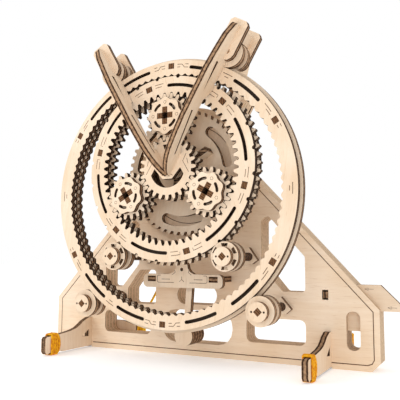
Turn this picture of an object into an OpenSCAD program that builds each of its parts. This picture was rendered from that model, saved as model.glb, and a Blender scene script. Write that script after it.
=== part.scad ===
// Planetary gear model of laser-cut plywood, all sizes in millimetres.
// X runs to the viewer's right, Y away from the viewer and Z up.
// The panel's middle plane is y = 0 and its bottom edge is z = 0.

/* [Plywood] */
// Thickness of one ply
ply = 3; // [2.6:0.1:3.4]
// Side of the square sticks that tie plies together
stick = 2.94; // [2.5:0.02:2.98]
// Radial clearance of every round running fit
run_gap = 0.05; // [0.02:0.01:0.1]
// Side clearance of each plate that runs in a groove
side_gap = 0.1; // [0.06:0.02:0.2]

/* [Gears] */
// Tooth module of every gear
gear_module = 1.25; // [1.24:0.01:1.26]
// Thickness taken off each tooth for backlash
backlash = 0.14; // [0.1:0.02:0.2]
// Height of the hub's centre above the panel's bottom edge
hub_z = 97.2; // [96.5:0.1:98]
// Radius of the flower disc's lobes on each planet
flower_r = 9.6; // [9:0.1:9.9]

/* [Rollers] */
// Radius of the large ring's roller discs
roller_r = 7; // [6.5:0.1:7.2]
// Radius of the small ring's roller discs
mid_roller_r = 7.1; // [6.8:0.1:7.3]
// Sideways distance of the low rollers
low_roller_x = 49; // [47:0.5:51]
// Sideways distance of the small ring's rollers
mid_roller_x = 31.5; // [30:0.5:33]
// Radius of the roller axles' journals
journal_r = 2.1; // [1.8:0.1:2.4]

/* [Panel] */
// Half the panel's width
panel_half = 95.5; // [93:0.5:98]
// Height of the panel's upright side
side_height = 28.6; // [27:0.2:31]
// Half the width of the panel's two arms
arm_half = 4; // [3.5:0.1:4.5]
// Sideways distance of the feet's middle planes
foot_x = 71.2; // [70.6:0.1:72]
// Length of each foot in front of and behind the middle plane
foot_reach = 45.5; // [44.5:0.5:48]

/* [Lock slide and bands] */
// Height of the lock slide's top edge
slide_top = 40; // [39:0.5:41]
// Distance that the lock slide can be pushed in
slide_travel = 6.5; // [4:0.5:6.5]
// Diameter of the rubber band
band_d = 0.9; // [0.7:0.05:0.9]
// Space between the rubber band and the wood
band_gap = 0.35; // [0.3:0.01:0.4]

/* [Hidden] */

wood = [0.87, 0.76, 0.6];
rubber = [0.95, 0.66, 0.1];

// Teeth, and the ring plates that follow them
sun_teeth = 24;
planet_teeth = 18;
inner_teeth = 60;
small_outer_teeth = 76;
outer_teeth = 96;
function pitch_r(z) = gear_module * z / 2;
small_ring_r = pitch_r(small_outer_teeth) - 0.5;
outer_ring_r = pitch_r(outer_teeth) + 7.5;
track_r = outer_ring_r + 1.5;
planet_orbit = pitch_r(sun_teeth + planet_teeth);
ring_drop = pitch_r(outer_teeth - small_outer_teeth);
ring_z = hub_z - ring_drop;
planet_angles = [90, 210, 330];

// Depths of the plies, front to back
ring_y = -34.8;
small_half = (ply - side_gap) / 2;
outer_half = (ply + side_gap) / 2;
low_core_half = outer_half + side_gap;
mid_core_half = small_half + side_gap;
gear_front = ring_y - 1.5 * ply;
gear_back = ring_y + 1.5 * ply;
cheek_back = gear_front - 0.3;
cheek_front = cheek_back - ply;
rear_cheek_front = gear_back + 4.1;
rear_cheek_back = rear_cheek_front + ply;
disc_front = rear_cheek_back - 0.2 + 0.4;
panel_y = -2 * ply;
gusset_front = panel_y - ply;

// Arms and rollers
arm_angle = 30;
arm_z = hub_z - 3.7;
low_reach = track_r + 5.6;
low_roller_z = ring_z - sqrt(low_reach * low_reach - low_roller_x * low_roller_x);
core_r = low_reach - track_r - side_gap;
mid_reach = small_ring_r + mid_roller_r + side_gap;
mid_roller_z = hub_z - sqrt(mid_reach * mid_reach - mid_roller_x * mid_roller_x);
mid_core_r = 5;
top_roller_x = 34.2;
top_roller_z = ring_z + sqrt(low_reach * low_reach - top_roller_x * top_roller_x);
top_axle_r = 1.5;
shaft_r = 4;
pin_r = 1.45;

function inv_ang(rb, r) =
    let (t = sqrt(max(0, pow(r / rb, 2) - 1))) t * 180 / PI - atan(t);

// Outline of a gear with z teeth, one tooth centred on angle 0
function gear_points(z, tip, root, thick) =
    let (rp = pitch_r(z), rb = rp * cos(20), half = thick / (2 * rp) * 180 / PI,
         a0 = inv_ang(rb, rp))
    [for (k = [0 : z - 1]) let (c = 360 * k / z) each concat(
        [for (r = [root, rp, tip]) let (h = half + a0 - inv_ang(rb, max(r, rb)))
            [r * cos(c - h), r * sin(c - h)]],
        [for (r = [tip, rp, root]) let (h = half + a0 - inv_ang(rb, max(r, rb)))
            [r * cos(c + h), r * sin(c + h)]])];

// Outline of a hole with z rounded bumps that point inward
function scallop_points(z, tip, root) =
    [for (k = [0 : z - 1], q = [[-0.5, 1], [-0.32, 0.55], [-0.15, 0.12], [0, 0],
         [0.15, 0.12], [0.32, 0.55]])
        let (a = 360 * (k + q[0]) / z, r = tip + (root - tip) * q[1]) [r * cos(a), r * sin(a)]];

// Polygon with every corner rounded to the same radius
function corner_arc(a, b, c, r, n) =
    let (u = (a - b) / norm(a - b), v = (c - b) / norm(c - b),
         half = acos(u * v) / 2, d = r / tan(half), m = (u + v) / norm(u + v),
         o = b + m * r / sin(half), p = b + u * d, q = b + v * d,
         pa = atan2(p[1] - o[1], p[0] - o[0]), qa = atan2(q[1] - o[1], q[0] - o[0]),
         da = (qa - pa) > 180 ? qa - pa - 360 : (qa - pa) < -180 ? qa - pa + 360 : qa - pa)
    [for (i = [0 : n]) o + r * [cos(pa + da * i / n), sin(pa + da * i / n)]];
function rounded(pts, r, n = 4) =
    let (k = len(pts))
    [for (i = [0 : k - 1]) each corner_arc(pts[(i + k - 1) % k], pts[i], pts[(i + 1) % k], r, n)];

// Plate between y0 and y0 + t from an outline in X and Z
module slab(y0, t) {
    translate([0, y0 + t, 0])
        rotate([90, 0, 0])
            linear_extrude(t)
                children();
}

// Round bar along Y
module bar(x, z, r, y0, y1, sides = 32) {
    translate([x, y1, z])
        rotate([90, 0, 0])
            cylinder(h = y1 - y0, r = r, $fn = sides);
}

// Square bar along Y, turned by an angle
module square_bar(x, z, side, y0, y1, turn = 0) {
    translate([x, (y0 + y1) / 2, z])
        rotate([0, -turn, 0])
            cube([side, y1 - y0, side], center = true);
}

module ring2d(outer, inner) {
    difference() {
        circle(r = outer, $fn = 120);
        circle(r = inner, $fn = 120);
    }
}

// Slot along an arc with round ends
function polar(r, a) = [r * cos(a), r * sin(a)];
module arc_slot(r, width, mid, half, steps = 10) {
    cap = width / 2;
    polygon(concat(
        [for (i = [0 : steps]) polar(r + cap, mid - half + 2 * half * i / steps)],
        [for (i = [1 : 5]) polar(r, mid + half) + polar(cap, mid + half + 30 * i)],
        [for (i = [steps : -1 : 0]) polar(r - cap, mid - half + 2 * half * i / steps)],
        [for (i = [1 : 5]) polar(r, mid - half) + polar(cap, mid - half + 180 + 30 * i)]));
}

// Rectangle at radius r, turned with its angle
module window(r, angle, radial, across) {
    rotate(angle)
        translate([r - radial / 2, -across / 2])
            square([radial, across]);
}

module at_hub() {
    translate([0, hub_z])
        children();
}

module at_ring() {
    translate([0, ring_z])
        children();
}

// Outline in the arm's own frame: x across, y along, right or left arm
module on_arm(side) {
    translate([0, arm_z])
        mirror([side < 0 ? 1 : 0, 0])
            rotate(-arm_angle)
                children();
}

// Upright plate in the arm's plane from an outline of distance and depth
module arm_plate(side) {
    translate([0, 0, arm_z])
        mirror([side < 0 ? 1 : 0, 0, 0])
            rotate([0, arm_angle - 90, 0])
                linear_extrude(ply, center = true)
                    children();
}

// Tube along a list of points that turn in the XZ plane
function unit(v) = v / norm(v);
module tube(path, r, sides = 6) {
    n = len(path);
    rings = [for (i = [0 : n - 1])
        let (t = unit(path[min(i + 1, n - 1)] - path[max(i - 1, 0)]),
             u = unit(cross(t, [0, 1, 0])), v = cross(t, u))
        for (k = [0 : sides - 1])
            path[i] + r * (cos(360 * k / sides) * u + sin(360 * k / sides) * v)];
    faces = concat(
        [[for (k = [0 : sides - 1]) k]],
        [for (i = [0 : n - 2], k = [0 : sides - 1])
            let (a = i * sides + k, b = i * sides + (k + 1) % sides)
            [a, a + sides, b + sides, b]],
        [[for (k = [sides - 1 : -1 : 0]) (n - 1) * sides + k]]);
    polyhedron(points = rings, faces = faces, convexity = 12);
}

// Panel

panel_slope = 47.1;
apex_x = 16.3;
apex_z = side_height + (panel_half - apex_x) * tan(panel_slope);
arm_length = 56;
key_x = foot_x - 1;
notch_top = 8.6;
slide_bottom = slide_top - 12.2;
slide_left = 80;
pocket_left = slide_left - slide_travel - 0.2;
tab_right = 89.6;
tab_bottom = slide_bottom - 9.8;

module panel_outline() {
    polygon([[-panel_half + 4, 0], [panel_half - 4, 0], [panel_half, 4],
        [panel_half, side_height], [apex_x, apex_z], [9, hub_z + 10.8], [0, hub_z + 2],
        [-9, hub_z + 10.8], [-apex_x, apex_z], [-panel_half, side_height],
        [-panel_half, 4]]);
    for (side = [-1, 1])
        on_arm(side)
            translate([-arm_half, 10])
                square([2 * arm_half, arm_length - 10]);
    at_hub()
        circle(r = 14, $fn = 64);
}

module panel_holes() {
    for (side = [-1, 1])
        mirror([side < 0 ? 1 : 0, 0]) {
            polygon(rounded([[28.9, 9.6], [60.3, 9.6], [60.3, 22], [28.9, 22]], 3));
            polygon(rounded([[37.2, 49], [48.6, 35.7], [60.3, 35.7], [60.3, 53.2],
                [41, 74.5], [37.2, 72]], 1.8));
            translate([foot_x - ply / 2, -1])
                square([ply, notch_top + 1]);
            translate([key_x - ply / 2, 32.4])
                square([ply, 4.8]);
            translate([low_roller_x, low_roller_z])
                circle(r = journal_r + run_gap, $fn = 32);
            translate([mid_roller_x, mid_roller_z])
                circle(r = journal_r + run_gap, $fn = 32);
        }
    polygon(rounded([[-44.6, 26.4], [-25.8, 26.4], [-25.8, 45.6], [-36.5, 45.6],
        [-44.6, 35]], 1.8));
    polygon(rounded([[-21, 6.8], [21, 6.8], [21, 24.3], [-21, 24.3]], 8));
    polygon(rounded([[-12, 27.4], [12, 27.4], [12, 37.2], [-12, 37.2]], 4.6));
    polygon(rounded([[80.1, 9.1], [86.6, 9.1], [86.6, 27.4], [80.1, 27.4]], 3));
    at_hub()
        circle(r = shaft_r + run_gap, $fn = 48);
}

module panel_ply(y0) {
    slab(y0, ply)
        difference() {
            panel_outline();
            panel_holes();
        }
}

module panel_front() {
    color(wood)
        panel_ply(-2 * ply);
}

module panel_core_front() {
    color(wood)
        slab(-ply, ply)
            difference() {
                panel_outline();
                panel_holes();
                translate([pocket_left, slide_bottom - 0.1])
                    square([40, slide_top - slide_bottom + 0.2]);
                translate([pocket_left, tab_bottom - 0.1])
                    square([tab_right + 0.2 - pocket_left, 12]);
            }
}

module panel_core_rear() {
    color(wood)
        panel_ply(0);
}

module panel_back() {
    color(wood)
        panel_ply(ply);
}

module panel_keys() {
    color(wood)
        for (side = [-1, 1])
            translate([side * key_x, 0, 34.8])
                cube([ply, 4 * ply, stick], center = true);
}

// Feet, half-lapped with the panel

module foot_outline() {
    difference() {
        for (e = [0, 1])
            mirror([e, 0])
                polygon([[0, 0.9], [0, 17.3], [-9, 17.3], [-14, 15.5], [-17, 13.7],
                    [-20, 12.3], [-25, 11.3], [-32, 10.6], [-foot_reach + 1, 10],
                    [-foot_reach, 9], [-foot_reach, 2.4], [-foot_reach + 1.2, 0.9],
                    [-foot_reach + 2.2, 0.9], [-foot_reach + 2.7, 1.35],
                    [-foot_reach + 13.4, 1.35], [-foot_reach + 13.9, 0.9]]);
        translate([-2 * ply, notch_top])
            square([4 * ply, 20]);
        for (e = [0, 1])
            mirror([e, 0])
                polygon([[-15, 7], [-9, 6.4], [-9, 10.6]]);
    }
}

module foot(side) {
    translate([side * foot_x - ply / 2, 0, 0])
        rotate([90, 0, 90])
            linear_extrude(ply)
                foot_outline();
}

module foot_left() {
    color(wood)
        foot(-1);
}

module foot_right() {
    color(wood)
        foot(1);
}

// Rubber band wound round each end of each foot
wind_loops = 5;
wind_pitch = 1.42;
wind_low = 0.02 + band_d / 2;
wind_high = 10.75 + band_gap + band_d / 2;
wind_wide = ply / 2 + band_gap + band_d / 2;
wind_mid = (wind_low + wind_high) / 2;
wind_tall = (wind_high - wind_low) / 2;
wind_corner = 0.8;
loop_plan = [for (c = [[1, -1], [1, 1], [-1, 1], [-1, -1]]) each concat(
    [for (i = [0 : 4]) let (start = c == [1, -1] ? -90 : c == [1, 1] ? 0 : c == [-1, 1] ? 90 : 180,
         a = start + 22.5 * i)
        [c[0] * (wind_wide - wind_corner) + wind_corner * cos(a),
         c[1] * (wind_tall - wind_corner) + wind_corner * sin(a)]],
    [c == [1, -1] ? [wind_wide, 0] : c == [1, 1] ? [0, wind_tall]
        : c == [-1, 1] ? [-wind_wide, 0] : [0, -wind_tall]])];
loop_rings = len(loop_plan);
wind_path = [for (i = [0 : wind_loops * loop_rings - 1])
    let (q = loop_plan[i % loop_rings]) [q[0], i * wind_pitch / loop_rings, wind_mid + q[1]]];
echo(foot_band_gap = wind_pitch * cos(atan(wind_pitch / 28)) - band_d);

module foot_bands() {
    color(rubber)
        for (side = [-1, 1], e = [0, 1])
            translate([side * foot_x, 0, 0])
                mirror([0, e, 0])
                    translate([0, -foot_reach + 4.3, 0])
                        tube(wind_path, band_d / 2);
}

// Gussets behind the low and middle rollers

module gusset2d(x, z, turn) {
    translate([x, z])
        difference() {
            rotate(turn)
                polygon([[-3.9, 2.85], [4.1, 2.85], [4.1, -0.7], [2.2, -3.6], [-2.4, -3.6],
                    [-4.6, -0.4]]);
            circle(r = journal_r + run_gap, $fn = 32);
        }
}

module roller_gussets() {
    low_turn = atan2(low_roller_z - ring_z, low_roller_x);
    mid_turn = atan2(mid_roller_z - hub_z, mid_roller_x);
    color(wood)
        for (e = [0, 1])
            mirror([e, 0, 0])
                slab(gusset_front, ply) {
                    gusset2d(low_roller_x, low_roller_z, low_turn);
                    gusset2d(mid_roller_x, mid_roller_z, mid_turn);
                }
}

// Bracket in front of the panel's middle

bracket_low = 37;
bracket_high = 44;
tie_z = 41.5;
tie_x = 18;

module centre_bracket() {
    color(wood)
        slab(rear_cheek_back, ply)
            difference() {
                union() {
                    polygon(rounded([[-23.2, bracket_low], [23.2, bracket_low],
                        [23.2, bracket_high], [-23.2, bracket_high]], 2.5));
                    polygon([[-9, bracket_high - 1], [9, bracket_high - 1], [7.2, bracket_high],
                        [4.8, bracket_high + 1.2], [3.6, bracket_high + 3],
                        [3.2, bracket_high + 5], [2.2, bracket_high + 6],
                        [-2.2, bracket_high + 6], [-3.2, bracket_high + 5],
                        [-3.6, bracket_high + 3], [-4.8, bracket_high + 1.2],
                        [-7.2, bracket_high]]);
                }
                for (side = [-1, 1])
                    translate([side * tie_x - 2.5, tie_z - ply / 2])
                        square([5, ply]);
                translate([0, bracket_high + 2.4])
                    circle(r = 0.9, $fn = 24);
            }
}

module bracket_ties() {
    color(wood)
        for (side = [-1, 1])
            translate([side * tie_x, (rear_cheek_back + panel_y) / 2, tie_z])
                cube([5, panel_y - rear_cheek_back, ply], center = true);
}

// Leaning strip behind the bracket with a thick round lobe at its foot
module bracket_pillar() {
    color(wood) {
        slab(rear_cheek_back + ply, ply)
            polygon([[-0.4, 16], [3, 16], [5, bracket_high - 1], [1.6, bracket_high - 1]]);
        bar(-0.4, 12.2, 5.2, rear_cheek_back + ply, panel_y - 0.4, 40);
    }
}

// Front ribs, cheeks and rear ribs

tongue_low = 74.3;
arm_end = 80;

module rib_outline() {
    difference() {
        polygon([[0.3, gear_front], [0.6, -41.2], [2.2, -43.6], [5.6, -46.4], [9, -48.4],
            [13, -49.8], [22, -51.2], [31, -52], [55, -52], [64, -51], [73, -49.5],
            [79, -46.7], [arm_end, -45.6], [arm_end, rear_cheek_back],
            [tongue_low, rear_cheek_back], [tongue_low, cheek_front], [62.6, cheek_front],
            [62.6, cheek_back], [46, cheek_back], [41.2, cheek_front - 0.35],
            [17, cheek_front - 0.35], [12.4, gear_front]]);
        polygon([[44.5, -46.6], [60, -48], [60.3, -47], [60, -46]]);
        polygon([[11.4, -44.6], [34.5, -48.6], [34.5, -47.4], [11.6, -43.8]]);
    }
}

module front_rib(side) {
    intersection() {
        arm_plate(side)
            rib_outline();
        translate([side < 0 ? -100 : 0, -60, 60])
            cube([100, 80, 140]);
    }
}

module rib_left() {
    color(wood)
        front_rib(-1);
}

module rib_right() {
    color(wood)
        front_rib(1);
}

module cheek2d() {
    difference() {
        polygon([[-3.4, 83], [3.4, 83], [5, 81.4], [5, 66.4], [4.4, 64.6], [3, 63.1], [1.2, 62.6],
            [-1.2, 62.6], [-3, 63.1], [-4.4, 64.6], [-5, 66.4], [-5, 81.4]]);
        translate([-ply / 2, tongue_low])
            square([ply, arm_end - tongue_low]);
    }
}

module cheek_pair(y0) {
    for (e = [-1, 1])
        slab(y0, ply)
            difference() {
                on_arm(e)
                    cheek2d();
                translate([e * top_roller_x, top_roller_z])
                    circle(r = top_axle_r, $fn = 32);
            }
}

module front_cheeks() {
    color(wood)
        cheek_pair(cheek_front);
}

module rear_cheeks() {
    color(wood)
        cheek_pair(rear_cheek_front);
}

module rear_ribs() {
    color(wood)
        for (side = [-1, 1])
            arm_plate(side)
                polygon([[82, rear_cheek_back], [82, -22], [75, -20], [71, -17.8],
                    [63.4, -13.6], [51, -7.9], [47, panel_y], [38, panel_y],
                    [40, -9], [44, -13], [50, -18], [62, rear_cheek_back]]);
}

// Sun gear, fixed on the ribs

sun_hole_r = 10;

module sun_gear2d() {
    rotate(90)
        polygon(gear_points(sun_teeth, pitch_r(sun_teeth) + 1.1, pitch_r(sun_teeth) - 1.4,
             PI * gear_module / 2 - backlash));
}

module sun_front_gear() {
    color(wood)
        slab(gear_front, ply)
            at_hub()
                difference() {
                    sun_gear2d();
                    polygon(concat([for (i = [0 : 12]) polar(sun_hole_r, -20.5 - 139 * i / 12)],
                        [[-7.4, -0.1], [-2.75, -5.5], [2.75, -5.5], [7.4, -0.1]]));
                    polygon([[-0.9, 8], [0.9, 8], [2.6, 12], [-2.6, 12]]);
                }
}

module sun_rear_gear() {
    color(wood) {
        slab(gear_front + ply, ply)
            at_hub()
                ring2d(13, sun_hole_r + 0.4);
        slab(gear_front + 2 * ply, ply)
            at_hub()
                difference() {
                    sun_gear2d();
                    circle(r = sun_hole_r + 0.4, $fn = 120);
                }
    }
}

// Large ring: two scalloped face plies round the toothed track

outer_window_angle = 88.4;
outer_window_r = outer_ring_r - 2.7;

module outer_windows() {
    for (k = [0 : 5])
        window(outer_window_r, outer_window_angle - 60 * k, stick, 3.3);
}

// The four sectors of the face that carry slots
slot_sectors = [0, 2, 3, 5];
module outer_face2d() {
    difference() {
        circle(r = outer_ring_r, $fn = 180);
        rotate(90)
            polygon(scallop_points(outer_teeth, pitch_r(outer_teeth) - 0.4,
                pitch_r(outer_teeth) + 0.7));
        outer_windows();
        for (k = slot_sectors, off = [-17.4, -40.9])
            arc_slot(outer_ring_r - 3.5, 1.7, outer_window_angle - 60 * k + off, 8 - 0.8);
    }
}

module outer_ring_front() {
    color(wood)
        slab(ring_y - outer_half - ply, ply)
            at_ring()
                outer_face2d();
}

module outer_ring_rear() {
    color(wood)
        slab(ring_y + outer_half, ply)
            at_ring()
                outer_face2d();
}

module outer_ring_track() {
    color(wood)
        slab(ring_y - outer_half, 2 * outer_half)
            at_ring()
                difference() {
                    circle(r = track_r, $fn = 180);
                    rotate(90)
                        polygon(gear_points(outer_teeth, pitch_r(outer_teeth) + 1.35,
                            pitch_r(outer_teeth) - 0.4, PI * gear_module / 2 + backlash));
                    outer_windows();
                }
}

module outer_ring_sticks() {
    color(wood)
        for (k = [0 : 5])
            let (a = outer_window_angle - 60 * k)
                square_bar(outer_window_r * cos(a), ring_z + outer_window_r * sin(a), stick,
                    ring_y - outer_half - ply, ring_y + outer_half + ply, a);
}

// Small ring: two notched face plies with inner teeth, outer teeth between

small_window_angle = 45.2;
small_window_r = small_ring_r - 4;

module small_windows() {
    for (k = [0 : 5])
        window(small_window_r, small_window_angle - 60 * k, stick, 3.6);
}

module small_face2d() {
    difference() {
        circle(r = small_ring_r, $fn = 180);
        for (k = [0 : 23])
            rotate(8 + 15 * k)
                translate([small_ring_r, 0])
                    circle(r = 1, $fn = 16);
        rotate(90 + 180 / inner_teeth)
            polygon(gear_points(inner_teeth, pitch_r(inner_teeth) + 1.4,
                pitch_r(inner_teeth) - 1.05, PI * gear_module / 2 + backlash));
        small_windows();
        for (k = [0 : 5])
            arc_slot(small_ring_r - 4.5, 1.7, 15.6 - 60 * k, 15 - 1.1);
    }
}

module small_ring_front() {
    color(wood)
        slab(ring_y - small_half - ply, ply)
            at_hub()
                small_face2d();
}

module small_ring_rear() {
    color(wood)
        slab(ring_y + small_half, ply)
            at_hub()
                small_face2d();
}

module small_ring_gear() {
    color(wood)
        slab(ring_y - small_half, 2 * small_half)
            at_hub()
                difference() {
                    rotate(90)
                        polygon(gear_points(small_outer_teeth, pitch_r(small_outer_teeth) + 1.25,
                            pitch_r(small_outer_teeth) - 1.5, PI * gear_module / 2 - backlash));
                    circle(r = pitch_r(inner_teeth) + 2.5, $fn = 120);
                    small_windows();
                }
}

module small_ring_sticks() {
    color(wood)
        for (k = [0 : 5])
            let (a = small_window_angle - 60 * k)
                square_bar(small_window_r * cos(a), hub_z + small_window_r * sin(a), stick,
                    ring_y - small_half - ply, ring_y + small_half + ply, a);
}

// Planets, each a copy of the top one turned about the hub

stick_pitch = 3;
cross_reach = stick_pitch + stick / 2;

module at_planet(k) {
    rotate(planet_angles[k] - 90)
        translate([0, planet_orbit])
            children();
}

module cross2d() {
    square([2 * cross_reach, stick], center = true);
    square([stick, 2 * cross_reach], center = true);
}

module planet_gear2d() {
    rotate(180 / planet_teeth + 90)
        polygon(gear_points(planet_teeth, pitch_r(planet_teeth) + 1.05,
            pitch_r(planet_teeth) - 1.4, PI * gear_module / 2 - backlash));
}

module planet_flower(k) {
    slab(gear_front - ply, ply)
        at_hub()
            at_planet(k)
                difference() {
                    polygon([for (q = [0 : 79])
                        polar(flower_r - 0.55 + 0.55 * cos(36 * q), 4.5 * q)]);
                    cross2d();
                    for (q = [0 : 3])
                        arc_slot(6.25, 1.5, 45 + 90 * q, 16);
                }
}

module planet_front_gear(k) {
    slab(gear_front, ply)
        at_hub()
            at_planet(k)
                difference() {
                    planet_gear2d();
                    cross2d();
                }
}

module planet_rear_gear(k) {
    slab(gear_front + ply, ply)
        at_hub()
            at_planet(k)
                difference() {
                    circle(r = 8.5, $fn = 64);
                    cross2d();
                }
    slab(gear_front + 2 * ply, ply)
        at_hub()
            at_planet(k)
                difference() {
                    planet_gear2d();
                    cross2d();
                }
}

module planet_sticks(k) {
    slab(gear_front - ply, 4 * ply)
        at_hub()
            at_planet(k)
                for (q = [0 : 3])
                    rotate(90 * q)
                        translate([stick_pitch, 0])
                            square(stick, center = true);
}

module planet_top_flower() {
    color(wood)
        planet_flower(0);
}

module planet_top_front_gear() {
    color(wood)
        planet_front_gear(0);
}

module planet_top_rear_gear() {
    color(wood)
        planet_rear_gear(0);
}

module planet_top_sticks() {
    color(wood)
        planet_sticks(0);
}

module planet_left_flower() {
    color(wood)
        planet_flower(1);
}

module planet_left_front_gear() {
    color(wood)
        planet_front_gear(1);
}

module planet_left_rear_gear() {
    color(wood)
        planet_rear_gear(1);
}

module planet_left_sticks() {
    color(wood)
        planet_sticks(1);
}

module planet_right_flower() {
    color(wood)
        planet_flower(2);
}

module planet_right_front_gear() {
    color(wood)
        planet_front_gear(2);
}

module planet_right_rear_gear() {
    color(wood)
        planet_rear_gear(2);
}

module planet_right_sticks() {
    color(wood)
        planet_sticks(2);
}

// Planet carrier behind the gears

carrier_teeth = 50;
web_front = gear_back + 0.4;
drum_front = 2 * ply + 0.4;
drum_core_r = 3;
drum_loops = 5;
drum_pitch = 1.42;
drum_core = drum_pitch * drum_loops + 0.2;

module carrier_disc() {
    color(wood)
        slab(disc_front, ply)
            at_hub()
                difference() {
                    rotate(90)
                        polygon([for (k = [0 : carrier_teeth - 1], q = [[-0.34, 31.4],
                            [-0.16, 33.2], [0.16, 33.2], [0.34, 31.4]])
                            let (a = 360 * (k + q[0]) / carrier_teeth)
                            [q[1] * cos(a), q[1] * sin(a)]]);
                    for (k = [0 : 2])
                        arc_slot(25.8, 5.4, 30 + 120 * k, 22);
                    circle(r = shaft_r, $fn = 48);
                    for (k = [0 : 2])
                        rotate(planet_angles[k])
                            translate([planet_orbit, 0])
                                circle(r = pin_r, $fn = 32);
                }
}

// Plain round plate between the toothed disc and the panel
flange_r = 36.4;
flange_front = disc_front + ply + 5.4;
module carrier_flange() {
    color(wood)
        slab(flange_front, ply)
            at_hub()
                difference() {
                    circle(r = flange_r, $fn = 120);
                    circle(r = shaft_r, $fn = 48);
                }
}

module carrier_webs() {
    color(wood)
        for (k = [0 : 2])
            translate([0, 0, hub_z])
                rotate([0, -30 - 120 * k, 0])
                    difference() {
                        translate([3, web_front, -ply / 2])
                            cube([k == 0 ? 16.8 : 10, disc_front - web_front, ply]);
                        bar(0, 0, shaft_r, web_front - 1, disc_front + 1, 48);
                    }
}

module carrier_pins() {
    color(wood)
        for (a = planet_angles) {
            bar(planet_orbit * cos(a), hub_z + planet_orbit * sin(a), pin_r,
                gear_back - ply + 0.1, disc_front + ply);
            difference() {
                bar(planet_orbit * cos(a), hub_z + planet_orbit * sin(a), 2 * pin_r,
                    gear_back + 0.2, disc_front);
                bar(planet_orbit * cos(a), hub_z + planet_orbit * sin(a), pin_r,
                    gear_back, disc_front + 1);
            }
        }
}

module carrier_shaft() {
    color(wood) {
        bar(0, hub_z, shaft_r, web_front, drum_front, 48);
        bar(0, hub_z, drum_core_r - 1, drum_front, drum_front + drum_core + 2.4, 32);
    }
}

module band_drum() {
    color(wood)
        translate([0, 0, hub_z])
            rotate([-90, 0, 0])
                rotate_extrude($fn = 48)
                    polygon([[drum_core_r - 1, drum_front], [6, drum_front],
                        [6, drum_front + 1], [drum_core_r, drum_front + 1],
                        [drum_core_r, drum_front + 1 + drum_core],
                        [6, drum_front + 1 + drum_core], [6, drum_front + 2 + drum_core],
                        [drum_core_r - 1, drum_front + 2 + drum_core]]);
}

// Rollers

module roller_wheel(x, z, disc, core, core_half, bore, front_hub, holes) {
    difference() {
        union() {
            bar(x, z, disc, ring_y - core_half - ply, ring_y - core_half, 64);
            bar(x, z, core, ring_y - core_half, ring_y + core_half, 48);
            bar(x, z, disc, ring_y + core_half, ring_y + core_half + ply, 64);
            if (front_hub)
                bar(x, z, 4.5, ring_y - core_half - 2 * ply, ring_y - core_half - ply, 48);
        }
        if (front_hub)
            square_bar(x, z, stick, ring_y - 20, ring_y + 20, 45);
        else
            bar(x, z, bore, ring_y - 20, ring_y + 20);
        if (front_hub)
            for (a = [0, 180])
                bar(x + 3 * cos(a), z + 3 * sin(a), 0.5, ring_y - core_half - 2 * ply - 1,
                    ring_y - core_half - ply, 16);
        if (holes)
            slab(ring_y - core_half - ply - 0.01, ply + 0.02)
                translate([x, z])
                    for (k = [0 : 5])
                        rotate(60 * k + 30)
                            polygon([[4.7, -1.3], [6.3, -1.75], [6.3, 1.75], [4.7, 1.3]]);
    }
}

module roller_axle(x, z, core_half) {
    square_bar(x, z, stick, ring_y - core_half - 2 * ply, ring_y + core_half + ply, 45);
    bar(x, z, journal_r, ring_y + core_half + ply, 2 * ply + 0.6);
}

module low_roller_left() {
    color(wood)
        roller_wheel(-low_roller_x, low_roller_z, roller_r, core_r, low_core_half, 0, true, false);
}

module low_roller_right() {
    color(wood)
        roller_wheel(low_roller_x, low_roller_z, roller_r, core_r, low_core_half, 0, true, false);
}

module low_axle_left() {
    color(wood)
        roller_axle(-low_roller_x, low_roller_z, low_core_half);
}

module low_axle_right() {
    color(wood)
        roller_axle(low_roller_x, low_roller_z, low_core_half);
}

module mid_roller_left() {
    color(wood)
        roller_wheel(-mid_roller_x, mid_roller_z, mid_roller_r, mid_core_r, mid_core_half, 0,
            true, true);
}

module mid_roller_right() {
    color(wood)
        roller_wheel(mid_roller_x, mid_roller_z, mid_roller_r, mid_core_r, mid_core_half, 0,
            true, true);
}

module mid_axle_left() {
    color(wood)
        roller_axle(-mid_roller_x, mid_roller_z, mid_core_half);
}

module mid_axle_right() {
    color(wood)
        roller_axle(mid_roller_x, mid_roller_z, mid_core_half);
}

module top_roller_left() {
    color(wood)
        roller_wheel(-top_roller_x, top_roller_z, roller_r, core_r, low_core_half,
            top_axle_r + run_gap, false, false);
}

module top_roller_right() {
    color(wood)
        roller_wheel(top_roller_x, top_roller_z, roller_r, core_r, low_core_half,
            top_axle_r + run_gap, false, false);
}

module top_axle_left() {
    color(wood)
        bar(-top_roller_x, top_roller_z, top_axle_r, cheek_front, rear_cheek_back);
}

module top_axle_right() {
    color(wood)
        bar(top_roller_x, top_roller_z, top_axle_r, cheek_front, rear_cheek_back);
}

// Lock slide in the front core ply

slide_clear = 0.06;
module lock_slide() {
    color(wood)
        slab(-ply + slide_clear, ply - 2 * slide_clear)
            polygon([[slide_left, tab_bottom], [tab_right, tab_bottom],
                [tab_right, slide_bottom], [108, slide_bottom], [95.8, slide_top],
                [slide_left, slide_top]]);
}

// Rubber band from the drum down to a hook behind the panel

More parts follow.
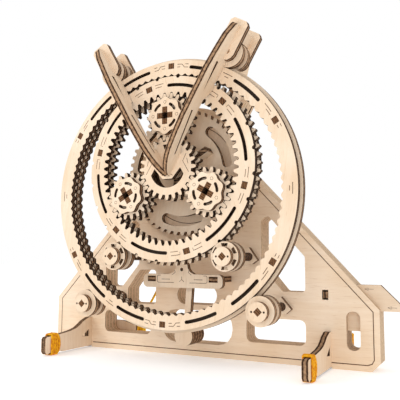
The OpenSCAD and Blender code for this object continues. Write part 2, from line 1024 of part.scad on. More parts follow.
wrap_r = drum_core_r + band_gap + band_d / 2;
peg_x = -50;
peg_z = 9.4;
peg_r = 1.2;
peg_wrap_r = peg_r + band_gap + band_d / 2;
peg_gap = norm([peg_x, peg_z - hub_z]);
band_lean = atan2(hub_z - peg_z, -peg_x) + asin((peg_wrap_r - wrap_r) / peg_gap);
band_y = drum_front + 1 + band_gap + band_d / 2 + 0.05;
drum_rings = 24;
band_path = concat(
    [for (i = [drum_rings * drum_loops - 24 : -1 : 1])
        let (a = band_lean - 90 + 360 * i / drum_rings)
        [wrap_r * cos(a), band_y + i * drum_pitch / drum_rings, hub_z + wrap_r * sin(a)]],
    [for (i = [0 : 24])
        let (a = band_lean - 90 - 360 * i / 16)
        [peg_x + peg_wrap_r * cos(a), band_y + i * drum_pitch / 16, peg_z + peg_wrap_r * sin(a)]]);
echo(motor_band_gap = drum_pitch - band_d);

module motor_band() {
    color(rubber)
        tube(band_path, band_d / 2);
}

module band_hook() {
    color(wood) {
        slab(2 * ply, band_y - 2 * ply - band_d / 2 - band_gap)
            polygon([[-62, 2], [-50, 2], [-46.6, 5.4], [-46.6, 12.4], [-50, 13.4], [-56, 15],
                [-62, 15]]);
        bar(peg_x, peg_z, peg_r, band_y - band_d / 2 - band_gap, band_y + 3);
    }
}

panel_front();
panel_core_front();
panel_core_rear();
panel_back();
panel_keys();
foot_left();
foot_right();
foot_bands();
roller_gussets();
centre_bracket();
bracket_ties();
bracket_pillar();
rib_left();
rib_right();
front_cheeks();
rear_cheeks();
rear_ribs();
sun_front_gear();
sun_rear_gear();
outer_ring_front();
outer_ring_track();
outer_ring_rear();
outer_ring_sticks();
small_ring_front();
small_ring_gear();
small_ring_rear();
small_ring_sticks();
planet_top_flower();
planet_top_front_gear();
planet_top_rear_gear();
planet_top_sticks();
planet_left_flower();
planet_left_front_gear();
planet_left_rear_gear();
planet_left_sticks();
planet_right_flower();
planet_right_front_gear();
planet_right_rear_gear();
planet_right_sticks();
carrier_disc();
carrier_flange();
carrier_webs();
carrier_pins();
carrier_shaft();
band_drum();
low_roller_left();
low_roller_right();
low_axle_left();
low_axle_right();
mid_roller_left();
mid_roller_right();
mid_axle_left();
mid_axle_right();
top_roller_left();
top_roller_right();
top_axle_left();
top_axle_right();
lock_slide();
motor_band();
band_hook();
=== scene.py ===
"""Dresses a plywood model of planetary gears for a product picture."""
import math
import random

import bmesh
import bpy
from mathutils import Matrix, Vector


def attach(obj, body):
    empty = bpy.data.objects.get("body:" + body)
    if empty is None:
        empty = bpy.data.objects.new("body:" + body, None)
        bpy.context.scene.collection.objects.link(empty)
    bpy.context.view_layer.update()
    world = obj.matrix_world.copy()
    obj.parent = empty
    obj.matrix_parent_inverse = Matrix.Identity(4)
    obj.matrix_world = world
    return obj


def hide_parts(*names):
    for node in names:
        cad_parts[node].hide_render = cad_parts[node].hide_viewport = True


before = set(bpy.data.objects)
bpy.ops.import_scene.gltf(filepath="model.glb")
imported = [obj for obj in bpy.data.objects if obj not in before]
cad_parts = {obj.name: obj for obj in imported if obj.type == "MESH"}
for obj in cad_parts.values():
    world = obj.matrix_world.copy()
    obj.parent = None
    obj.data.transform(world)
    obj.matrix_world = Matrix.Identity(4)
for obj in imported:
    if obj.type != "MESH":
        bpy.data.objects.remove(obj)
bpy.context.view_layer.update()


# The stand is a wide panel glued up from four laser-cut birch plies.
# Its faces are pale and sanded, its cut edges are scorched brown, and a
# fine line is burnt a little way in from its outline.
MM = 0.001
METRE = 1000.0


class Wire:
    """A shader socket that can be used in plain sums."""

    def __init__(self, tree, socket):
        self.tree, self.socket = tree, socket

    def math(self, operation, *others, swap=False, clamp=False):
        values = [self, *others]
        if swap:
            values[0], values[1] = values[1], values[0]
        return node(self.tree, "ShaderNodeMath", {"operation": operation, "use_clamp": clamp},
                    dict(enumerate(values)))

    def __add__(self, other): return self.math("ADD", other)
    def __radd__(self, other): return self.math("ADD", other)
    def __sub__(self, other): return self.math("SUBTRACT", other)
    def __rsub__(self, other): return self.math("SUBTRACT", other, swap=True)
    def __mul__(self, other): return self.math("MULTIPLY", other)
    def __rmul__(self, other): return self.math("MULTIPLY", other)
    def __truediv__(self, other): return self.math("DIVIDE", other)
    def __rtruediv__(self, other): return self.math("DIVIDE", other, swap=True)
    def __gt__(self, other): return self.math("GREATER_THAN", other)
    def __lt__(self, other): return self.math("LESS_THAN", other)
    def __abs__(self): return self.math("ABSOLUTE")
    def fraction(self): return self.math("FRACT")
    def clamp(self): return self.math("ADD", 0.0, clamp=True)


def node(tree, kind, settings=None, values=None, output=0):
    """One shader node: its settings first, then its sockets' values or links."""
    made = tree.nodes.new(kind)
    for name, setting in (settings or {}).items():
        setattr(made, name, setting)
    for key, value in (values or {}).items():
        socket = made.inputs[key]
        if isinstance(value, Wire):
            tree.links.new(value.socket, socket)
        else:
            socket.default_value = value
    return Wire(tree, made.outputs[output])


def tint(red, green, blue):
    """Screen colour from 0 to 255 as the linear colour that shaders take."""
    return tuple(((c / 255 + 0.055) / 1.055) ** 2.4 if c > 10 else c / 255 / 12.92
                 for c in (red, green, blue)) + (1.0,)


VENEER_PALE = tint(244, 223, 199)
VENEER_WARM = tint(228, 199, 166)
VENEER_FLECK = tint(196, 154, 114)
EDGE_CHAR = tint(44, 26, 17)
EDGE_TOAST = tint(182, 144, 110)
EDGE_ASH = tint(120, 94, 74)


def blend_colours(tree, factor, low, high):
    """The low colour where factor is 0, the high one where it is 1."""
    return node(tree, "ShaderNodeMix", {"data_type": "RGBA"},
                {0: factor, 6: low, 7: high}, output=2)


PLY = 3.0
# The unit of the veneer's figure in metres: along the fibre, across it and
# through the ply.
FIGURE_UNIT = (1 / 12, 1 / 150, 1 / 60)


def birch_ply(name, normal=(0, 1, 0), start=0.0, grain=0.0, toast=0.35, thickness=PLY,
              tone=1.0, pale_core=0.0, slot_shade_ring=None):
    """Sanded birch veneer with the scorched, layered edge that a laser leaves.

    Lengths are in millimetres. normal is the plate's own normal, start the
    place of one of its faces along it, and thickness that of one ply. grain
    turns the figure in the plate's plane, in degrees. toast runs from charred
    to lightly browned edges, tone scales the veneer's colour, darker under 1
    and lighter over 1, and pale_core lightens the layers inside the edge.
    slot_shade_ring gives a centre's height and two radii: painted shade,
    near-black between them on the face, stands in for the shadow there and
    makes the slots in the
    the ply in front of it look deep."""
    made = bpy.data.materials.new(name)
    made.use_nodes = True
    pale, warm = (tuple(c * tone ** power for c, power in zip(shade, (0.9, 1.0, 1.1, 0.0)))
                  for shade in (VENEER_PALE, VENEER_WARM))
    tree = made.node_tree
    shader = tree.nodes["Principled BSDF"]
    place = node(tree, "ShaderNodeTexCoord", output=3)
    facing = node(tree, "ShaderNodeTexCoord", output=1)
    across = node(tree, "ShaderNodeVectorMath", {"operation": "DOT_PRODUCT"},
                  {0: facing, 1: normal}, output=1)
    face = abs(across) > 0.6
    along = node(tree, "ShaderNodeVectorMath", {"operation": "DOT_PRODUCT"},
                 {0: place, 1: normal}, output=1)
    # The veneer's figure: long, fine fibres and broad, soft clouds.
    turn = Vector(normal).to_track_quat("Z", "X").to_euler()
    lay = node(tree, "ShaderNodeMapping", {"vector_type": "TEXTURE"},
               {0: place, 2: tuple(turn)})
    lay = node(tree, "ShaderNodeMapping", {"vector_type": "TEXTURE"},
               {0: lay, 2: (0.0, 0.0, math.radians(grain)), 3: FIGURE_UNIT})
    fibre = node(tree, "ShaderNodeTexNoise", None, {"Vector": lay, "Scale": 4.0, "Detail": 5.0,
                                                     "Roughness": 0.6})
    cloud = node(tree, "ShaderNodeTexNoise", None, {"Vector": place, "Scale": 38.0, "Detail": 2.0})
    fleck = node(tree, "ShaderNodeTexNoise", None, {"Vector": lay, "Scale": 16.0, "Detail": 1.0})
    figure = ((fibre - 0.5) * 1.1 + (cloud - 0.5) * 1.5 + 0.42).clamp()
    veneer = blend_colours(tree, figure, pale, warm)
    dark_fleck = ((fleck - 0.64) * 7.0).clamp() * 0.35
    veneer = blend_colours(tree, dark_fleck, veneer, VENEER_FLECK)
    # The edge: a charred line on each side of a toasted core, broken by soot.
    layer = ((along * METRE - start) / thickness).fraction()
    middle = abs(layer - 0.5) * 2.0
    soot = node(tree, "ShaderNodeTexNoise", None, {"Vector": place, "Scale": 900.0, "Detail": 3.0})
    band = ((middle - 0.30) * 5.0).clamp() * (1.0 - ((middle - 0.80) * 8.0).clamp())
    burn = (band * (1.0 - toast * 0.4) + (soot - 0.5) * 1.2 + (0.62 - toast)).clamp()
    core = blend_colours(tree, ((soot - 0.42) * 4.0).clamp() * 0.5, EDGE_TOAST, EDGE_ASH)
    core = blend_colours(tree, pale_core, core, VENEER_WARM)
    edge = blend_colours(tree, burn, core, EDGE_CHAR)
    # Painted shade: the face is painted near-black between two radii about a centre, in place of
    # the shadow seen through the slots of the ply in front.
    if slot_shade_ring:
        centre_z, near, far = slot_shade_ring
        offset = node(tree, "ShaderNodeVectorMath", {"operation": "SUBTRACT"},
                      {0: place, 1: (0.0, 0.0, centre_z * MM)})
        offset = node(tree, "ShaderNodeVectorMath", {"operation": "MULTIPLY"},
                      {0: offset, 1: (METRE, 0.0, METRE)})
        radius = node(tree, "ShaderNodeVectorMath", {"operation": "LENGTH"}, {0: offset}, output=1)
        veneer = blend_colours(tree, (radius > near) * (radius < far) * 0.93, veneer, EDGE_CHAR)
    colour = blend_colours(tree, face, edge, veneer)
    tree.links.new(colour.socket, shader.inputs["Base Color"])
    rough = 0.78 - face * 0.16 + fibre * 0.08
    tree.links.new(rough.socket, shader.inputs["Roughness"])
    shader.inputs["Specular IOR Level"].default_value = 0.14
    relief = node(tree, "ShaderNodeBump", None,
                  {"Strength": 0.12, "Distance": 0.0002, "Height": fibre + soot * 0.3})
    tree.links.new(relief.socket, shader.inputs["Normal"])
    return made


STICK_CORE = tint(128, 90, 60)


def stick_ply(name, turn=0.0, toast=0.2):
    """A square ply stick: scorched all round, with its core showing in its ends.

    turn is the angle in degrees, in the plane of X and Z, of the plies' normal."""
    lean = math.radians(turn)
    normal = (math.cos(lean), 0.0, math.sin(lean))
    made = birch_ply(name, normal=normal, start=PLY / 2, toast=toast)
    tree = made.node_tree
    shader = tree.nodes["Principled BSDF"]
    facing = node(tree, "ShaderNodeTexCoord", output=1)
    apart = node(tree, "ShaderNodeSeparateXYZ", None, {0: facing}, output=1)
    place = node(tree, "ShaderNodeTexCoord", output=3)
    soot = node(tree, "ShaderNodeTexNoise", None, {"Vector": place, "Scale": 1400.0, "Detail": 2.0})
    end = abs(apart) > 0.6
    side = blend_colours(tree, ((soot - 0.45) * 2.2).clamp() * 0.7, EDGE_CHAR, EDGE_TOAST)
    along = node(tree, "ShaderNodeVectorMath", {"operation": "DOT_PRODUCT"},
                 {0: place, 1: normal}, output=1)
    stripe = (abs((along * METRE).fraction() - 0.5) * 4.0 - 0.9).clamp()
    core = blend_colours(tree, (stripe * 0.95 + 0.12 + (soot - 0.5) * 2.0).clamp(),
                         STICK_CORE, EDGE_CHAR)
    colour = blend_colours(tree, end, side, core)
    tree.links.new(colour.socket, shader.inputs["Base Color"])
    return made


def clad(material, *names):
    """Gives CAD nodes one material."""
    for name in names:
        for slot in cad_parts[name].material_slots:
            slot.material = material


# The panel is given tone 1.06: painted light that brightens its faces, which lie in the shade of
# the gears in front.
panel_birch = birch_ply("panel_birch", grain=90.0, toast=0.9, tone=1.06, pale_core=0.85)
clad(panel_birch, "panel_front", "panel_core_front", "panel_core_rear", "panel_back")

BURNT_DEEP, BURNT_FAINT = tint(78, 50, 32), tint(118, 82, 54)
burnt = bpy.data.materials.new("burnt_line")
burnt.use_nodes = True
burnt_place = node(burnt.node_tree, "ShaderNodeTexCoord", output=3)
burnt_soot = node(burnt.node_tree, "ShaderNodeTexNoise", None,
                  {"Vector": burnt_place, "Scale": 500.0, "Detail": 3.0})
burnt_shader = burnt.node_tree.nodes["Principled BSDF"]
burnt_colour = blend_colours(burnt.node_tree, ((burnt_soot - 0.35) * 3.0).clamp(),
                             BURNT_DEEP, BURNT_FAINT)
burnt.node_tree.links.new(burnt_colour.socket, burnt_shader.inputs["Base Color"])
burnt_shader.inputs["Roughness"].default_value = 0.85

# A burnt line is a thin bead sunk in the face. These are its radius and how
# deep its middle lies, as shares of the line's width.
BEAD_RADIUS, BEAD_SINK = 0.62, 0.36


def burn_lines(name, body, depth, lines, width=0.34):
    """Lines burnt into a face at one depth, from points in X and Z, in millimetres."""
    flat = bpy.data.curves.new(name, "CURVE")
    flat.dimensions = "3D"
    flat.bevel_depth = width * BEAD_RADIUS * MM
    flat.bevel_resolution = 1
    flat.use_fill_caps = True
    for line in lines:
        closed = line[0] == line[-1]
        points = line[:-1] if closed else line
        spline = flat.splines.new("POLY")
        spline.points.add(len(points) - 1)
        spline.use_cyclic_u = closed
        for point, (x, z) in zip(spline.points, points):
            point.co = (x * MM, (depth + width * BEAD_SINK) * MM, z * MM, 1.0)
    shape = bpy.data.objects.new(name, flat)
    bpy.context.collection.objects.link(shape)
    seen = shape.evaluated_get(bpy.context.evaluated_depsgraph_get())
    mesh = bpy.data.meshes.new_from_object(seen)
    bpy.data.objects.remove(shape)
    mesh.name = name
    mesh.materials.clear()
    mesh.materials.append(burnt)
    piece = bpy.data.objects.new(name, mesh)
    bpy.context.collection.objects.link(piece)
    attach(piece, body)


PANEL_FACE = -6.0
right_border = [(71.0, 2.9), (89.6, 2.9), (91.6, 3.7), (92.6, 5.4), (92.6, 27.5), (18.0, 107.7),
                (33.4, 134.5)]
left_border = [(-x, z) for x, z in right_border]
burn_lines("panel_border", "stand", PANEL_FACE,
           [right_border, left_border, [(-68.6, 2.9), (68.6, 2.9)]], width=0.52)


# Two square keys lock the four plies of the panel together.
# Their sawn ends show as small brown blocks in slots of the face.
key_birch = birch_ply("key_birch", normal=(1, 0, 0), start=0.5, toast=0.3)
clad(key_birch, "panel_keys")


# Two cross feet are half-lapped into the panel's bottom edge.
# They are upright plates, cut from the same ply and charred on their edges.
foot_birch = birch_ply("foot_birch", normal=(1, 0, 0), start=0.7, toast=0.42)
clad(foot_birch, "foot_left", "foot_right")


# A thin yellow rubber band is wound many times round each foot's two ends,
# so that the model doesn't slide. The turns bunch up at the wood's edges and
# spread on its flanks.
FOOT_X = 71.2
FOOT_END = 45.5


def yellow_rubber(name, light, dark):
    """Dull stretched rubber, a little uneven in colour and surface."""
    made = bpy.data.materials.new(name)
    made.use_nodes = True
    tree = made.node_tree
    shader = tree.nodes["Principled BSDF"]
    place = node(tree, "ShaderNodeTexCoord", output=3)
    cloud = node(tree, "ShaderNodeTexNoise", None,
                 {"Vector": place, "Scale": 900.0, "Detail": 3.0})
    colour = blend_colours(tree, ((cloud - 0.36) * 3.5).clamp(), light, dark)
    tree.links.new(colour.socket, shader.inputs["Base Color"])
    bump = node(tree, "ShaderNodeBump", None,
                {"Strength": 0.2, "Distance": 0.0001, "Height": cloud})
    tree.links.new(bump.socket, shader.inputs["Normal"])
    shader.inputs["Roughness"].default_value = 0.5
    shader.inputs["Specular IOR Level"].default_value = 0.25
    return made


rubber = yellow_rubber("yellow_rubber", tint(252, 190, 12), tint(212, 122, 0))


def round_tube(name, points, radius, body, material):
    """A tube of even thickness along points in millimetres, kept as a mesh."""
    route = bpy.data.curves.new(name, "CURVE")
    route.dimensions = "3D"
    route.bevel_depth = radius * MM
    route.bevel_resolution = 1
    route.use_fill_caps = True
    spline = route.splines.new("POLY")
    spline.points.add(len(points) - 1)
    for spot, point in zip(spline.points, points):
        spot.co = (*(c * MM for c in point), 1.0)
    shape = bpy.data.objects.new(name, route)
    bpy.context.collection.objects.link(shape)
    seen = shape.evaluated_get(bpy.context.evaluated_depsgraph_get())
    mesh = bpy.data.meshes.new_from_object(seen)
    bpy.data.objects.remove(shape)
    mesh.name = name
    mesh.materials.clear()
    mesh.materials.append(material)
    mesh.shade_smooth()
    piece = bpy.data.objects.new(name, mesh)
    bpy.context.collection.objects.link(piece)
    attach(piece, body)
    return piece


def wound_band(name, side, end, seed):
    """Turns round one foot end: bunched in two layers at top and bottom, and
    spread away from the foot's end on its flanks."""
    chance = random.Random(seed)
    turns, strand, setback = 9, 0.4, 4.1
    half_wide, low, high, corner = 1.95, 0.42, 10.75, 0.5
    bunch, bulge = (4.6, 2.0) if side < 0 else (3.4, 3.2)
    points = []
    for turn in range(turns):
        share = turn / (turns - 1)
        drift = chance.uniform(-0.12, 0.12)
        slack = chance.uniform(0.0, 0.22) + 0.28 * (turn % 2)
        for cx, cz, start in ((1, -1, -90), (1, 1, 0), (-1, 1, 90), (-1, -1, 180)):
            for step in range(4):
                angle = math.radians(start + 30 * step)
                x = cx * (half_wide - corner) + corner * math.cos(angle)
                z = (low + corner if cz < 0 else high - corner) + corner * math.sin(angle)
                points.append((x + cx * slack, z + max(0, cz) * slack, drift - share * bunch))
            if cx * cz < 0:
                for part in (0.1, 0.25, 0.42, 0.58, 0.75, 0.9):
                    z = low + (high - low) * (part if cx > 0 else 1 - part)
                    spread = bunch + bulge * math.sin(math.pi * part) ** 0.7
                    points.append((cx * (half_wide + slack * 0.7), z, drift - share * spread))
    front = FOOT_END - setback
    path = [(side * FOOT_X + x, end * (front + y), z) for x, z, y in points]
    return round_tube(name, path, strand, "stand", rubber)


foot_wraps = [wound_band(f"foot_wrap_{side_name}_{end_name}", side, end, 11 * side + end)
              for side, side_name in ((-1, "left"), (1, "right"))
              for end, end_name in ((-1, "front"), (1, "rear"))]
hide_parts("foot_bands")


# A small chamfered gusset is glued on the panel behind each of the four lower
# rollers. Two flat ties hold the centre bracket off the panel, and behind it
# stands a leaning strip with a thick round lobe.
clad(birch_ply("gusset_birch", start=-9.0, grain=24.0, toast=0.3, tone=1.04), "roller_gussets")
BRACKET_FACE = -23.2
clad(birch_ply("bracket_birch", start=BRACKET_FACE, toast=0.38, tone=1.04),
     "centre_bracket", "bracket_pillar")
clad(birch_ply("tie_birch", normal=(0, 0, 1), start=40.0, toast=0.4), "bracket_ties")


def mirrored(lines):
    """The lines, and each again on the other side of the middle plane."""
    return lines + [[(-x, z) for x, z in line] for line in lines]


burn_lines("bracket_lines", "stand", BRACKET_FACE,
           mirrored([[(12.6, 43.3), (14.1, 43.3), (14.6, 42.8), (14.6, 40.1), (14.0, 39.6),
                      (4.6, 39.6)],
                     [(7.0, 41.3), (12.0, 41.3)],
                     [(4.2, 46.0), (3.8, 44.9), (5.6, 43.6)]])
           + [[(0.0, 42.8), (0.0, 41.2), (-1.4, 40.1)], [(0.0, 41.2), (1.4, 40.1)]], width=0.3)


# Two ribs rise from the sun gear in a V to the upper rollers.
# They are upright plates: their charred front edge shows three layers.
LEAN = math.radians(30)
right_normal = (math.cos(LEAN), 0.0, -math.sin(LEAN))
left_normal = (-math.cos(LEAN), 0.0, -math.sin(LEAN))
RIB_FOOT_Z = 93.5
rib_start = -RIB_FOOT_Z * math.sin(LEAN) - PLY / 2
# The right rib is given tone 0.9: painted shade, darker than the left rib, for its face turned away
# from the key light.
shaded_right_rib_birch = birch_ply("shaded_right_rib_birch", normal=right_normal, start=rib_start, toast=0.45,
                            tone=0.9)
left_rib_birch = birch_ply("left_rib_birch", normal=left_normal, start=rib_start, toast=0.45)
clad(shaded_right_rib_birch, "rib_right")
clad(left_rib_birch, "rib_left")
rear_rib_birch = birch_ply("rear_rib_birch", normal=right_normal, start=rib_start, toast=0.7)
clad(rear_rib_birch, "rear_ribs")


# A pair of blunt cheeks holds each upper roller, pierced by the rib's tongue.
# The roller turns on a plain round pin between them.
clad(birch_ply("front_cheek_birch", start=-42.6, grain=60.0, toast=0.25), "front_cheeks")
clad(birch_ply("rear_cheek_birch", start=-26.2, grain=60.0, toast=0.25), "rear_cheeks")
clad(birch_ply("pin_birch", normal=(0, 0, 1), toast=0.8), "top_axle_left", "top_axle_right")


# The sun gear is fixed on the ribs: a front gear, a spacer and a rear gear.
# Chevrons are burnt beside the ribs and on the shield below them.
HUB_Z = 97.2
GEAR_FACE = -39.3
clad(birch_ply("sun_front_birch", start=GEAR_FACE, grain=20.0, toast=-0.15), "sun_front_gear")
clad(birch_ply("sun_rear_birch", start=GEAR_FACE + PLY, grain=20.0, toast=-0.2), "sun_rear_gear")


def about(centre_z, lines):
    """Lines drawn about the origin, lifted to a centre at this height."""
    return [[(x, z + centre_z) for x, z in line] for line in lines]


burn_lines("sun_chevrons", "stand", GEAR_FACE, about(HUB_Z, mirrored(
    [[(10.7, 6.6), (8.8, 3.0), (12.2, -2.7)], [(11.1, 4.2), (11.8, 1.5)]])
    + [[(-3.2, -3.9), (0.0, -2.1), (3.2, -3.9)], [(-1.4, -4.3), (0.0, -3.4), (1.4, -4.3)]]),
    width=0.3)


# The large ring runs in the grooves of the four outer rollers.
# Two scalloped face plies enclose the toothed track, tied by six sticks.
RING_Z = 84.7
OUTER_FACE, OUTER_TRACK = -39.35, 3.1
OUTER_WINDOW = 88.4
track_front = OUTER_FACE + PLY
clad(birch_ply("outer_front_birch", start=OUTER_FACE, grain=8.0, toast=-0.1), "outer_ring_front")
# The track ply's face carries painted shade behind the front ply's slots.
clad(birch_ply("outer_track_birch", start=track_front, grain=70.0, toast=0.25,
               thickness=OUTER_TRACK, slot_shade_ring=(RING_Z, 61.0, 66.9)), "outer_ring_track")
clad(birch_ply("outer_rear_birch", start=track_front + OUTER_TRACK, grain=-20.0, toast=0.0),
     "outer_ring_rear")
clad(stick_ply("stick_birch"), "outer_ring_sticks", "small_ring_sticks")


def arc(radius, first, last, steps=6):
    """Points along an arc about the origin, from angles in degrees."""
    return [(radius * math.cos(math.radians(first + (last - first) * i / steps)),
             radius * math.sin(math.radians(first + (last - first) * i / steps)))
            for i in range(steps + 1)]


outer_lines = []
for place in range(6):
    window = OUTER_WINDOW - 60 * place
    if place in (0, 3):
        for way in (-1, 1):
            outer_lines += [
                arc(65.4, window + way * 3.2, window + way * 5.6)
                + arc(63.9, window + way * 6.8, window + way * 8.8),
                arc(64.0, window + way * 3.2, window + way * 4.8, 3),
                arc(65.5, window + way * 7.2, window + way * 8.8, 3)]
    else:
        way = 1 if place in (1, 4) else -1
        outer_lines += [
            arc(65.3, window + way * 8.6, window + way * 4.0),
            arc(64.1, window + way * 6.4, window + way * 3.0),
            arc(66.1, window - way * 2.3, window - way * 3.7, 2),
            arc(64.5, window - way * 2.3, window - way * 3.7, 2)]
    if place in (0, 1, 3, 4):
        outer_lines += [arc(65.0, window - 26.9, window - 31.6),
                        arc(63.5, window - 28.2, window - 30.3, 3)]
burn_lines("outer_ring_lines", "outer_ring", OUTER_FACE, about(RING_Z, outer_lines), width=0.36)


# The small ring meshes with the large one at its top and stands on the two
# middle rollers. Its face plies have inner teeth for the planets.
SMALL_FACE, SMALL_GEAR = -39.25, 2.9
SMALL_WINDOW = 45.2
small_gear_front = SMALL_FACE + PLY
clad(birch_ply("small_front_birch", start=SMALL_FACE, grain=-14.0, toast=-0.25),
     "small_ring_front")
# The gear ply's face carries painted shade behind the front ply's slots.
clad(birch_ply("small_gear_birch", start=small_gear_front, grain=30.0, toast=0.1,
               thickness=SMALL_GEAR, slot_shade_ring=(HUB_Z, 40.0, 46.6)), "small_ring_gear")
clad(birch_ply("small_rear_birch", start=small_gear_front + SMALL_GEAR, grain=50.0, toast=-0.2),
     "small_ring_rear")
small_lines = []
for place in range(6):
    window = SMALL_WINDOW - 60 * place
    hooked = place % 2 == 0
    for way in (-1, 1):
        outer_dash = arc(43.9, window + way * 11.6, window + way * 5.0)
        inner_dash = arc(42.5, window + way * 10.2, window + way * 5.2)
        if hooked:
            outer_dash = outer_dash + arc(42.6, window + way * 4.9, window + way * 4.8, 1)
            inner_dash = arc(42.1, window + way * 12.0, window + way * 6.4)
        small_lines += [outer_dash, inner_dash]
burn_lines("small_ring_lines", "small_ring", SMALL_FACE, about(HUB_Z, small_lines), width=0.34)


# Each planet is a flower-shaped disc, two gears and a spacer, held together
# by a cross of four square sticks. Small circles are burnt beside the sticks.
PLANET_FACE = -42.3
PLANET_ORBIT = 26.25
PLANETS = (("top", 90), ("left", 210), ("right", 330))
CIRCLE_ORBIT, CIRCLE_R = 6.85, 0.75
flower_birch = birch_ply("flower_birch", start=PLANET_FACE, grain=35.0, toast=0.05)
planet_birch = birch_ply("planet_birch", start=GEAR_FACE, grain=-35.0, toast=-0.2)
for place, angle in PLANETS:
    body = f"planet_{place}"
    clad(flower_birch, f"{body}_flower")
    clad(planet_birch, f"{body}_front_gear", f"{body}_rear_gear")
    turn = math.radians(angle)
    clad(stick_ply(f"cross_birch_{place}", angle + 90), f"{body}_sticks")
    centre_x = PLANET_ORBIT * math.cos(turn)
    centre_z = HUB_Z + PLANET_ORBIT * math.sin(turn)
    rings = []
    for quarter in range(4):
        spoke = turn + quarter * math.pi / 2
        spot_x = centre_x + CIRCLE_ORBIT * math.cos(spoke)
        spot_z = centre_z + CIRCLE_ORBIT * math.sin(spoke)
        ring = [(spot_x + x, spot_z + z) for x, z in arc(CIRCLE_R, 0, 360, 12)]
        ring[-1] = ring[0]
        rings.append(ring)
    burn_lines(f"{body}_circles", body, PLANET_FACE, rings, width=0.2)


# The carrier is a toothed disc and a plain flange with three webs and three
# pins, on a shaft that runs through the panel to the rubber motor's drum.
carrier_birch = birch_ply("carrier_birch", start=-23.0, grain=15.0, toast=0.3)
clad(carrier_birch, "carrier_disc", "carrier_flange")
FLANGE_FACE, FLANGE_CIRCLE_R = -14.6, 26.4
flange_circle = arc(FLANGE_CIRCLE_R, 0, 354, 60)
flange_circle.append(flange_circle[0])
burn_lines("flange_circle", "carrier", FLANGE_FACE, about(HUB_Z, [flange_circle]), width=0.4)
clad(birch_ply("web_birch", normal=(0, 0, 1), start=HUB_Z - PLY / 2, toast=0.35), "carrier_webs")
clad(birch_ply("shaft_birch", start=-30.0, toast=0.6), "carrier_shaft", "carrier_pins")
DRUM_FRONT = 6.4
clad(birch_ply("drum_birch", start=DRUM_FRONT, toast=0.5), "band_drum")


# Six grooved rollers, each two discs and a core, carry the rings. The lower
# four turn with their stick axles in the gussets and the panel, and the upper
# two on their pins.
wheel_birch = birch_ply("wheel_birch", start=-39.45, grain=10.0, toast=0.5)
clad(wheel_birch, "low_roller_left", "low_roller_right", "mid_roller_left",
     "mid_roller_right", "top_roller_left", "top_roller_right")
clad(stick_ply("axle_birch", 45, toast=0.0), "low_axle_left", "low_axle_right",
     "mid_axle_left", "mid_axle_right")


# The lock slide is one ply that pushes into the panel's front core layer.
# Two burnt arrows point the way in. They lie low enough in its face to pass
# under the panel's front ply.
clad(birch_ply("slide_birch", start=-PLY, grain=90.0, toast=0.4, tone=0.96), "lock_slide")
ARROW_DEPTH = -2.824
arrow = [[(0.0, 0.0), (4.2, 0.0)], [(2.0, 0.0), (0.0, 0.0), (1.7, 0.65), (1.7, -0.65), (0.0, 0.0)]]
slide_arrows = [[(x + shift, z + height) for x, z in line]
                for shift, height in ((88.4, 38.0), (98.8, 29.6)) for line in arrow]
burn_lines("slide_arrows", "slide", ARROW_DEPTH, slide_arrows, width=0.62)


# The rubber motor is one thin band: wound on the drum behind the panel, it
# runs straight down to a peg on a small plate at the panel's lower corner.
clad(birch_ply("hook_birch", start=6.0, toast=0.4), "band_hook")
DRUM_CORE, DRUM_PITCH, DRUM_TURNS, DRUM_STEPS = 3.0, 1.42, 5, 48
BAND_R, BAND_SPACE = 0.45, 0.35
BAND_SEEN_R = 0.68
PEG_X, PEG_Z, PEG_R, PEG_STEPS = -50.0, 9.4, 1.2, 32
drum_wrap = DRUM_CORE + BAND_SPACE + BAND_R
peg_wrap = PEG_R + BAND_SPACE + BAND_R
reach = math.hypot(PEG_X, PEG_Z - HUB_Z)
band_lean = math.atan2(HUB_Z - PEG_Z, -PEG_X) + math.asin((peg_wrap - drum_wrap) / reach)
band_y = DRUM_FRONT + 1 + BAND_SPACE + BAND_R + 0.05
band_path = []
for step in range(DRUM_STEPS * (DRUM_TURNS - 1), 1, -1):
    angle = band_lean - math.pi / 2 + 2 * math.pi * step / DRUM_STEPS
    band_path.append((drum_wrap * math.cos(angle), band_y + step * DRUM_PITCH / DRUM_STEPS,
                      HUB_Z + drum_wrap * math.sin(angle)))
# One and a half turns lie close round the peg.
for step in range(PEG_STEPS * 3 // 2 + 1):
    angle = band_lean - math.pi / 2 - 2 * math.pi * step / PEG_STEPS
    band_path.append((PEG_X + peg_wrap * math.cos(angle), band_y + step * DRUM_PITCH / PEG_STEPS,
                      PEG_Z + peg_wrap * math.sin(angle)))
# Then comes a flat coil of three turns, out on one layer and back on the next.
# Its turns and layers lie a little over a band's thickness apart.
COIL_TURNS, COIL_STEPS, TURN_APART, LAYER_APART = 3, 36, 1.05, 1.25
coil_y = band_path[-1][1] + 0.2
coil_count = COIL_TURNS * COIL_STEPS
for layer in range(2):
    for step in range(1, coil_count + 1):
        turned = step + coil_count * layer
        angle = band_lean - math.pi / 2 - math.pi - 2 * math.pi * turned / COIL_STEPS
        done = step / coil_count
        grown = done if layer == 0 else 1 - done
        radius = peg_wrap + grown * COIL_TURNS * TURN_APART * BAND_SEEN_R * 2
        crossing = max(0.0, done - 0.9) * 10 * (1 - layer)
        rise = coil_y + LAYER_APART * BAND_SEEN_R * 2 * (layer + crossing)
        band_path.append((PEG_X + radius * math.cos(angle), rise,
                          PEG_Z + radius * math.sin(angle)))
# The band's rubber is a paler copy of the feet's yellow: painted light, which keeps the band bright
# where it lies in the shade behind the panel.
lit_band_rubber = yellow_rubber("lit_band_rubber", tint(255, 214, 40), tint(248, 184, 16))
band = round_tube("motor_rubber", band_path, BAND_SEEN_R, "stand", lit_band_rubber)
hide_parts("motor_band")


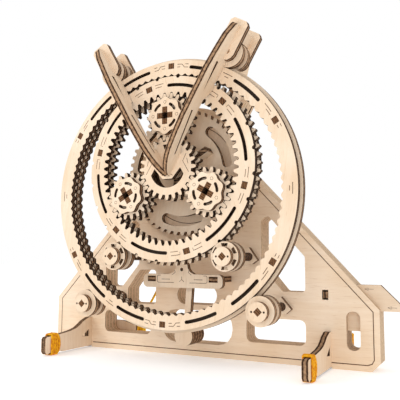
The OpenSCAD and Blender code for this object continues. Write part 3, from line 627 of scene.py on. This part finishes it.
# The picture is taken on a seamless white sweep in even light, with a soft key
# light from the left, a weak fill and the camera low and to the right.
floor_mesh = bpy.data.meshes.new("floor")
floor_shape = bmesh.new()
bmesh.ops.create_grid(floor_shape, x_segments=1, y_segments=1, size=3.0)
floor_shape.to_mesh(floor_mesh)
floor_shape.free()
floor = bpy.data.objects.new("floor", floor_mesh)
bpy.context.collection.objects.link(floor)
paper = bpy.data.materials.new("white_paper")
paper.use_nodes = True
paper_shader = paper.node_tree.nodes["Principled BSDF"]
paper_shader.inputs["Base Color"].default_value = (0.96, 0.96, 0.96, 1.0)
paper_shader.inputs["Roughness"].default_value = 0.9
paper_shader.inputs["Emission Color"].default_value = (1.0, 1.0, 1.0, 1.0)
paper_shader.inputs["Emission Strength"].default_value = 0.32
floor_mesh.materials.append(paper)

world = bpy.data.worlds.new("studio")
bpy.context.scene.world = world
world.use_nodes = True
world.node_tree.nodes["Background"].inputs["Color"].default_value = (1.0, 1.0, 1.0, 1.0)
sky_seen = node(world.node_tree, "ShaderNodeLightPath")
SKY_LIGHT, SKY_GLOW = 0.80, 1.0
sky_strength = sky_seen * (SKY_GLOW - SKY_LIGHT) + SKY_LIGHT
world.node_tree.links.new(sky_strength.socket,
                          world.node_tree.nodes["Background"].inputs["Strength"])


def soft_light(name, place, target, size, power, colour=(1.0, 1.0, 1.0)):
    """A round lamp, its size in metres and power in watts, aimed at a target."""
    lamp = bpy.data.lights.new(name, "AREA")
    lamp.shape = "DISK"
    lamp.size, lamp.energy, lamp.color = size, power, colour
    stand = bpy.data.objects.new(name, lamp)
    bpy.context.collection.objects.link(stand)
    stand.location = place
    stand.rotation_euler = (Vector(target) - Vector(place)).to_track_quat("-Z", "Y").to_euler()


soft_light("key", (-0.62, -0.60, 0.50), (-0.02, 0.0, 0.08), 0.42, 2.2, (1.0, 0.99, 0.97))
soft_light("fill", (0.50, -0.75, 0.16), (0.02, 0.0, 0.06), 0.5, 0.7)

# The plain view transform keeps the white sweep white.
bpy.context.scene.view_settings.view_transform = "Standard"

SENSOR_WIDTH, FOCAL_PIXELS, PICTURE_WIDTH = 36.0, 564.25, 400
CAMERA_PLACE = (0.1410, -0.2814, 0.0522)
camera_data = bpy.data.cameras.new("camera")
camera_data.sensor_width = SENSOR_WIDTH
camera_data.lens = SENSOR_WIDTH * FOCAL_PIXELS / PICTURE_WIDTH
camera_data.clip_start, camera_data.clip_end = 0.01, 20.0
camera = bpy.data.objects.new("camera", camera_data)
bpy.context.collection.objects.link(camera)
AZIMUTH, PITCH, ROLL = math.radians(26.83), math.radians(5.90), math.radians(0.27)
camera.matrix_world = (Matrix.Translation(CAMERA_PLACE)
                       @ Matrix.Rotation(AZIMUTH, 4, "Z")
                       @ Matrix.Rotation(math.pi / 2 + PITCH, 4, "X")
                       @ Matrix.Rotation(ROLL, 4, "Z"))
bpy.context.scene.camera = camera
